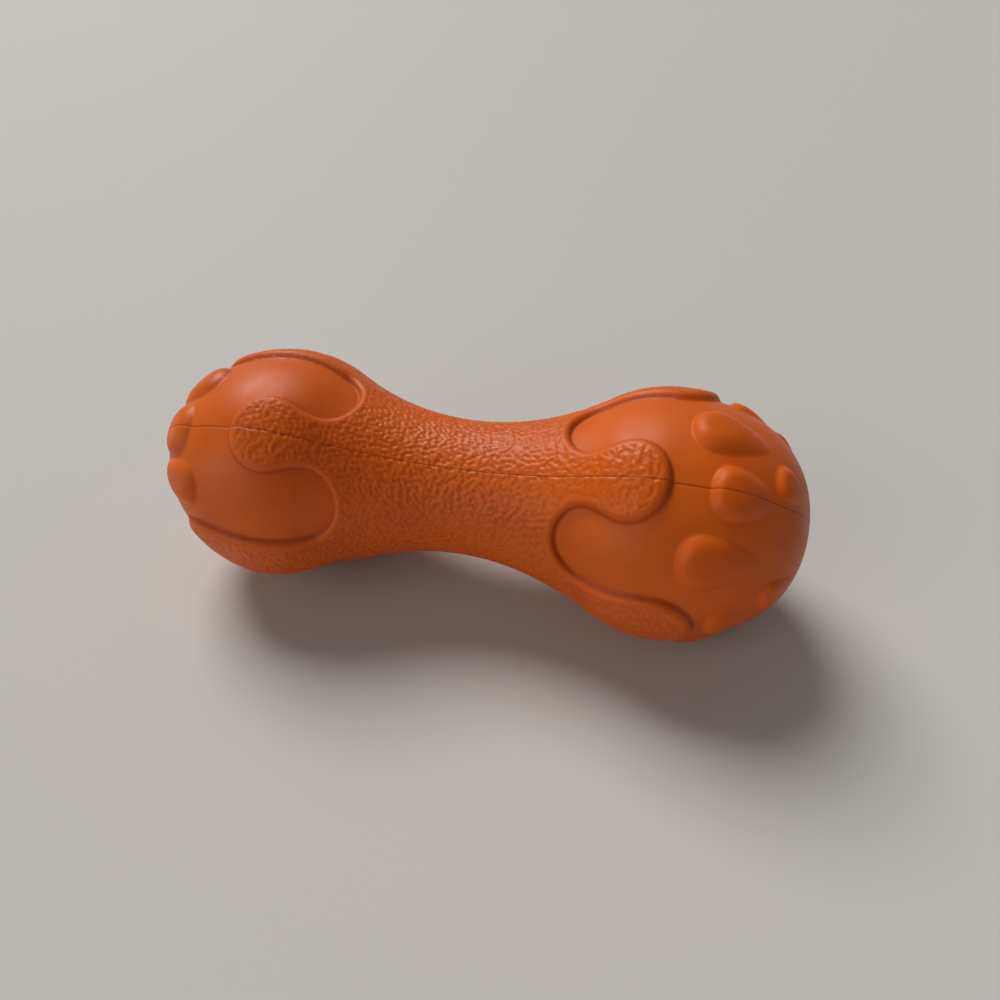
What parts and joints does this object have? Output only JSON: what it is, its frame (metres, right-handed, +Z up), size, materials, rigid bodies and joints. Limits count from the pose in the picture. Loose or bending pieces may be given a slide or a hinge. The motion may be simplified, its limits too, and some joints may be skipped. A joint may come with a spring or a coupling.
{
  "type": "dog chew bone",
  "caption": "Rubber chew bone for dogs with round heads, a grained sleeve with tongues over the waist, raised nubs on the heads and a reed squeaker in one end.",
  "frame": {"origin": "middle of the bone's length and width, on the surface that it lies on", "axes": "+X along the bone from the squeaker end to the plain end, +Z up, -Y towards the viewer of the picture"},
  "size_m": [0.17, 0.0638, 0.0627],
  "materials": {
    "orange_rubber": "satin moulded rubber, leather grain on the sleeve",
    "plug_plastic": "natural white moulded plastic",
    "bed_plastic": "natural white moulded plastic",
    "reed_film": "thin stiff film"
  },
  "bodies": {
    "bone": {"lower_shell": "orange_rubber", "upper_shell": "orange_rubber", "squeaker_plug": "plug_plastic", "reed_bed": "bed_plastic", "reed_wedge": "bed_plastic"},
    "reed": {"squeaker_reed": "reed_film"}
  },
  "joints": [
    {"name": "reed_flex", "type": "hinge", "parent": "bone", "child": "reed", "pos_m": [-0.07791, 0, 0.0312], "axis": [0, -1, 0], "range_deg": [-1.2, 3], "stiffness_Nm_per_rad": 0.0006}
  ]
}
